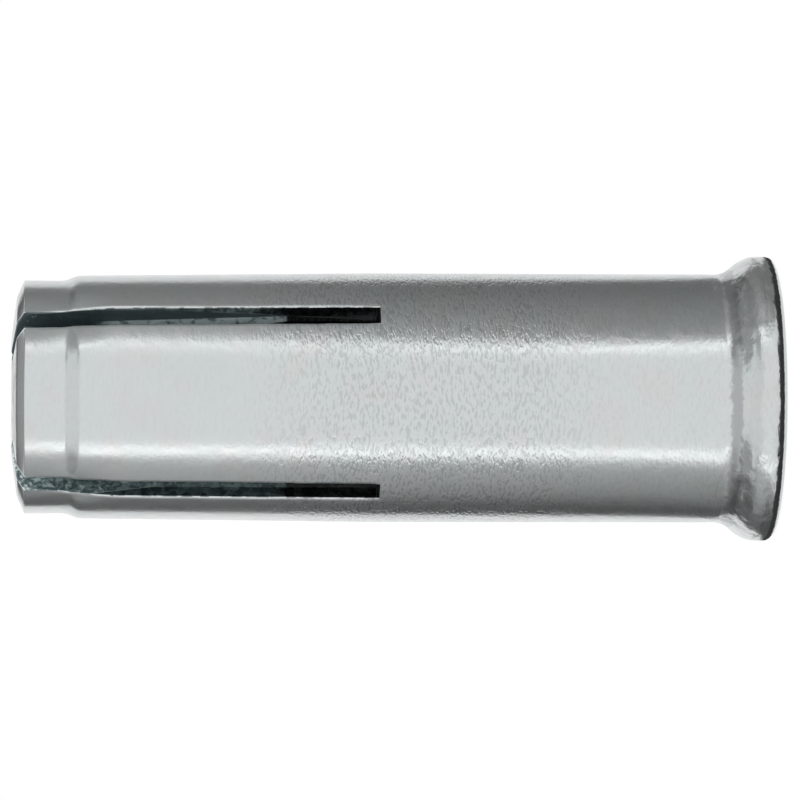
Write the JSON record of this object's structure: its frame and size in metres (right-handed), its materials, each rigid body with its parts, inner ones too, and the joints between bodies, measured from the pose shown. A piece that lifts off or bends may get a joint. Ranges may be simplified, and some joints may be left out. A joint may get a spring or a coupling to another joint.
{
  "type": "drop-in anchor",
  "caption": "Flush concrete anchor: a flared, internally threaded steel sleeve with a slotted, crimped end, and a tapered expander plug held loose inside.",
  "frame": {"origin": "centre of the rim face, on which the anchor stands", "axes": "+Z along the anchor's axis, from the threaded rim to the slotted end; the slots lie at 45 degrees to X and Y"},
  "size_m": [0.0113, 0.0112, 0.03],
  "materials": {
    "zinc_plated_sleeve": "bright zinc plating over cold-formed steel, faint dimples and tool marks round the body",
    "plug_steel": "turned and blackened, faint turning marks round it"
  },
  "bodies": {
    "sleeve": {"anchor_sleeve": "zinc_plated_sleeve"},
    "plug": {"expander_plug": "plug_steel"}
  },
  "joints": [
    {"name": "plug_drive", "type": "slide", "parent": "sleeve", "child": "plug", "axis": [0, 0, 1], "range_m": [0, 0.0035]}
  ]
}
